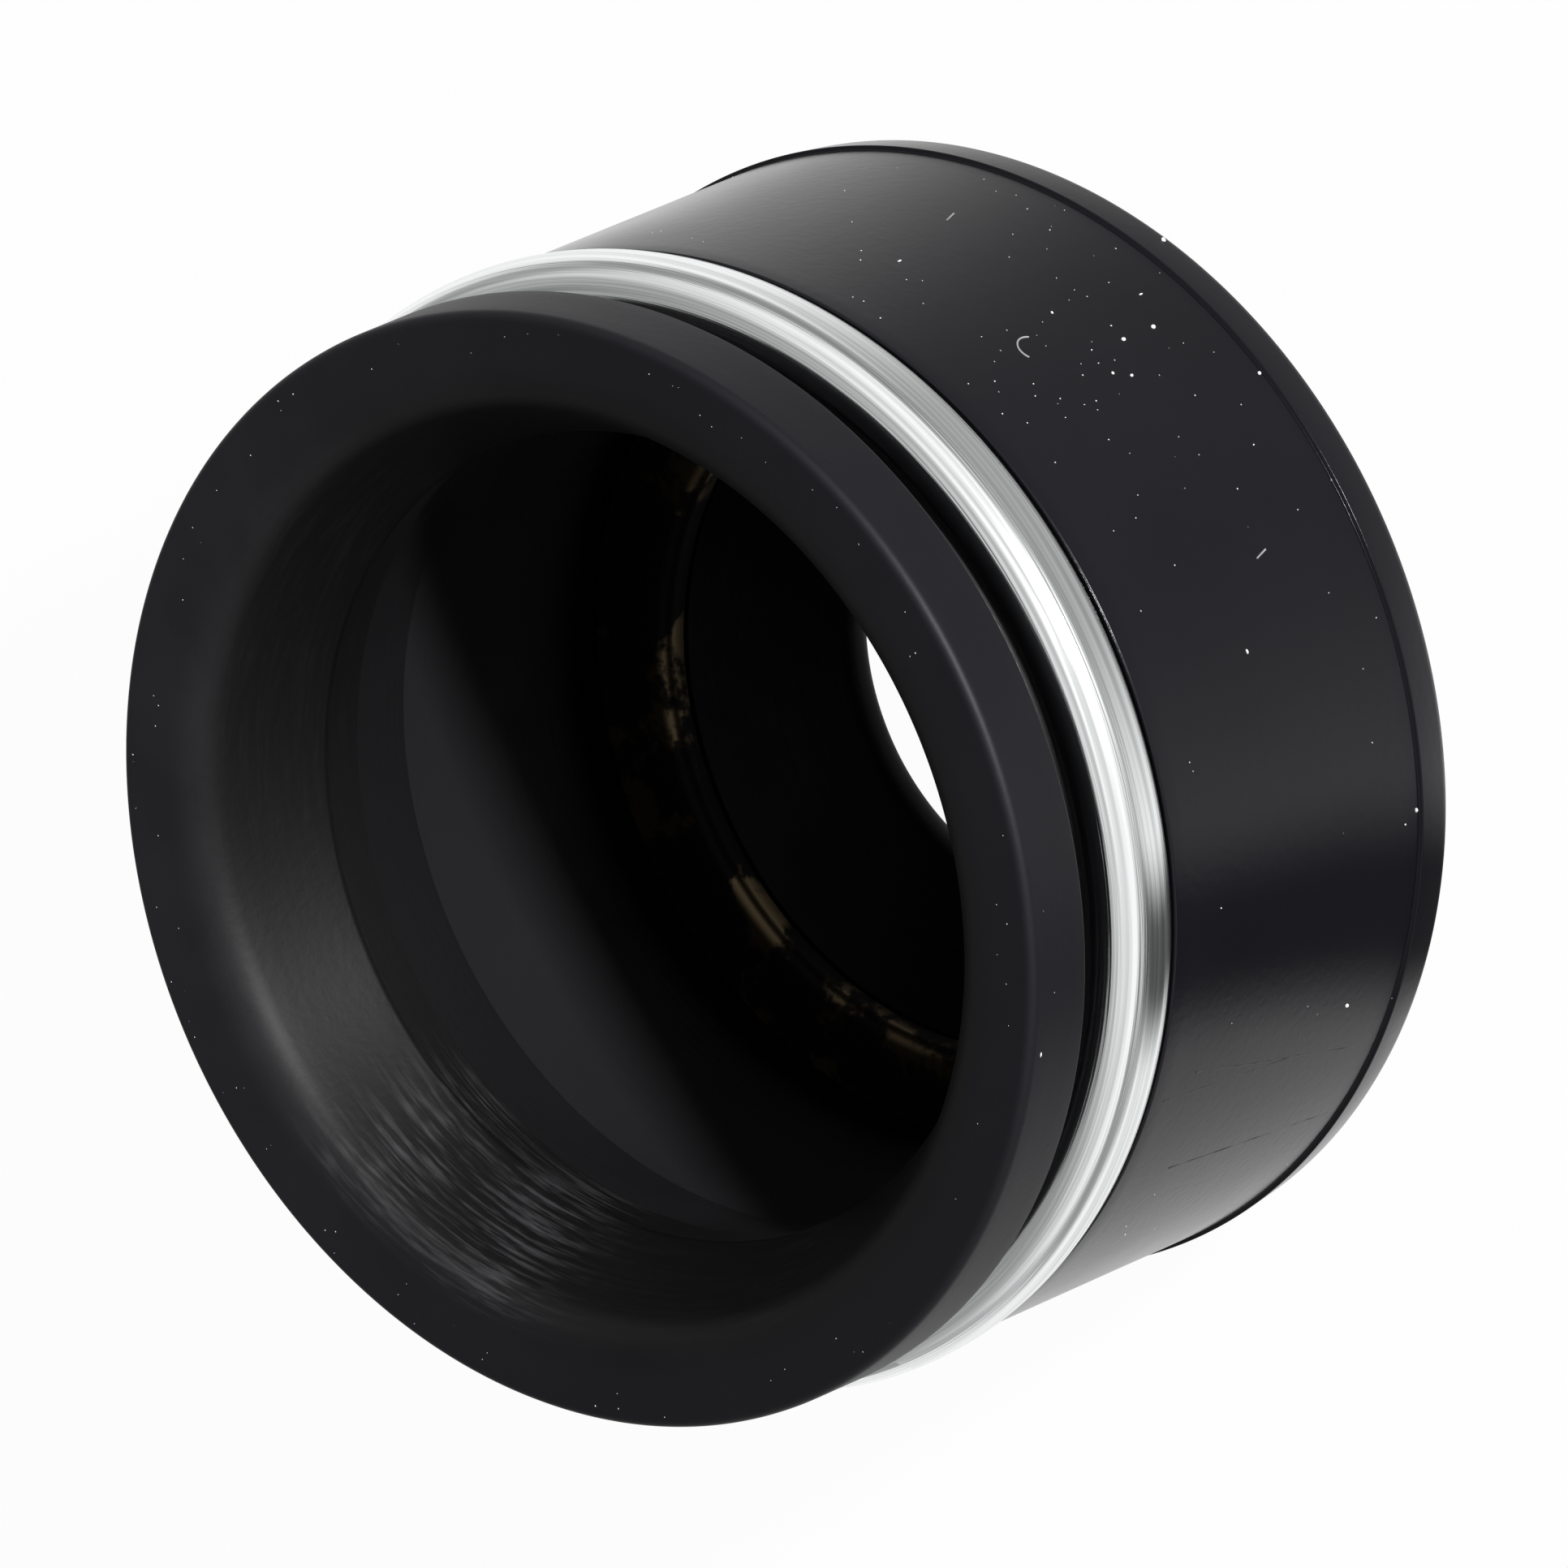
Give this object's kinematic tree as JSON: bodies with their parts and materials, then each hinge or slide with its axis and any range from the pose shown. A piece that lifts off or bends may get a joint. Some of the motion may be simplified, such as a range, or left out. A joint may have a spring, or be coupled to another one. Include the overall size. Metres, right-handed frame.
{
  "type": "valve stem seal",
  "caption": "Moulded rubber valve stem seal with a steel insert, a clamping wire round its mouth and a garter spring round its stem lip.",
  "frame": {"origin": "centre of the flat end face of the lip end, which the seal stands on", "axes": "+Z along the seal's axis, from the lip end to the mouth of the guide socket; X and Y are alike"},
  "size_m": [0.0132, 0.0132, 0.0094],
  "materials": {
    "rubber": "satin black moulded rubber, matte inside and on the mouth face",
    "coated_steel": "pressed steel with patchy golden brown bonding coat",
    "bright_wire": "bright drawn wire",
    "spring_steel": "plain spring wire"
  },
  "bodies": {
    "root": {"seal_body": "rubber", "reinforcement_insert": "coated_steel", "retaining_ring": "bright_wire", "garter_spring": "spring_steel"}
  },
  "joints": []
}
